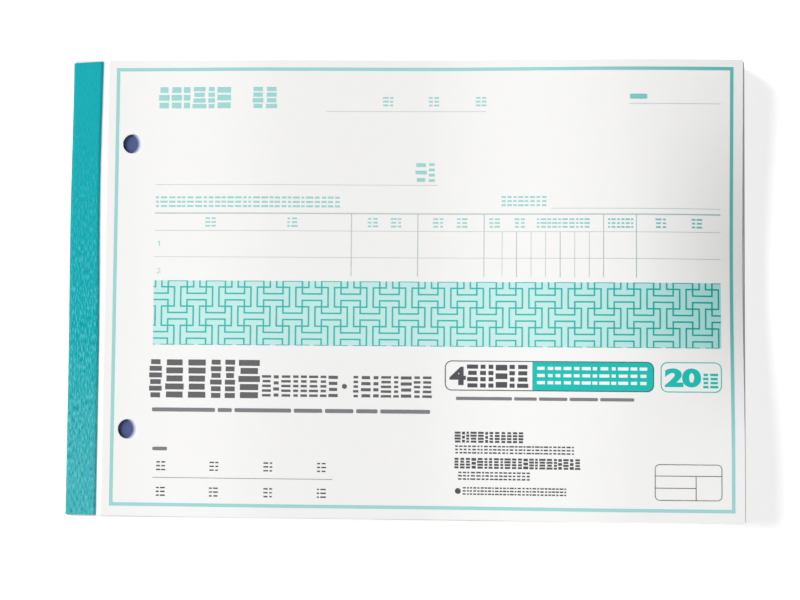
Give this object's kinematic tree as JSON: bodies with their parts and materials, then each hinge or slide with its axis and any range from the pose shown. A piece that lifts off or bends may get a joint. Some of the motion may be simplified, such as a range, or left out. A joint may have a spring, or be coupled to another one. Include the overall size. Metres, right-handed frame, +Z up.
{
  "type": "carbonless delivery slip book",
  "caption": "Landscape slip book: cloth-taped spine, printed card cover, two file holes, carbonless sets, writing shield.",
  "frame": {"origin": "middle of the underside, where the book lies on a table", "axes": "+X from the taped spine to the free edge, +Y to the head of the form, +Z up out of the front cover"},
  "size_m": [0.188, 0.128, 0.0097],
  "materials": {
    "cover_card": "uncoated white card with turquoise print",
    "slip_paper": "smooth carbonless paper",
    "cloth_tape": "teal crepe cloth tape, matt",
    "back_board": "uncoated board",
    "shield_card": "smooth blue card",
    "stitching_wire": "drawn wire"
  },
  "bodies": {
    "pad": {"back_cover": "back_board", "binding_tape": "cloth_tape", "front_cover_strip": "cover_card", "staple_upper": "stitching_wire", "staple_lower": "stitching_wire", "slip_stub_1": "slip_paper", "slip_stub_2": "slip_paper", "slip_stub_3": "slip_paper", "slip_stub_4": "slip_paper", "slip_set_02": "slip_paper", "slip_set_03": "slip_paper", "slip_set_04": "slip_paper", "slip_set_05": "slip_paper", "slip_set_06": "slip_paper", "slip_set_07": "slip_paper", "slip_set_08": "slip_paper", "slip_set_09": "slip_paper", "slip_set_10": "slip_paper", "slip_set_11": "slip_paper", "slip_set_12": "slip_paper", "slip_set_13": "slip_paper", "slip_set_14": "slip_paper", "slip_set_15": "slip_paper", "slip_set_16": "slip_paper", "slip_set_17": "slip_paper", "slip_set_18": "slip_paper", "slip_set_19": "slip_paper", "slip_set_20": "slip_paper"},
    "front_cover": {"front_cover": "cover_card"},
    "slip_1": {"slip_1": "slip_paper"},
    "slip_2": {"slip_2": "slip_paper"},
    "slip_3": {"slip_3": "slip_paper"},
    "slip_4": {"slip_4": "slip_paper"},
    "writing_shield": {"writing_shield": "shield_card"}
  },
  "joints": [
    {"name": "front_cover_hinge", "type": "hinge", "parent": "pad", "child": "front_cover", "pos_m": [-0.0849, 0, 0.00695], "axis": [0, -1, 0], "range_deg": [0, 180]},
    {"name": "slip_1_hinge", "type": "hinge", "parent": "pad", "child": "slip_1", "pos_m": [-0.0849, 0, 0.00695], "axis": [0, -1, 0], "range_deg": [0, 174.6]},
    {"name": "slip_2_hinge", "type": "hinge", "parent": "pad", "child": "slip_2", "pos_m": [-0.0849, 0, 0.00695], "axis": [0, -1, 0], "range_deg": [0, 169.2]},
    {"name": "slip_3_hinge", "type": "hinge", "parent": "pad", "child": "slip_3", "pos_m": [-0.0849, 0, 0.00695], "axis": [0, -1, 0], "range_deg": [0, 163.8]},
    {"name": "slip_4_hinge", "type": "hinge", "parent": "pad", "child": "slip_4", "pos_m": [-0.0849, 0, 0.00695], "axis": [0, -1, 0], "range_deg": [0, 158.4]},
    {"name": "writing_shield_slide", "type": "slide", "parent": "pad", "child": "writing_shield", "axis": [1, 0, 0], "range_m": [0, 0.178]}
  ],
  "couplings": [
    {"joint": "slip_1_hinge", "follows": "front_cover_hinge", "ratio": 0.97},
    {"joint": "slip_2_hinge", "follows": "front_cover_hinge", "ratio": 0.94},
    {"joint": "slip_3_hinge", "follows": "front_cover_hinge", "ratio": 0.91},
    {"joint": "slip_4_hinge", "follows": "front_cover_hinge", "ratio": 0.88}
  ]
}
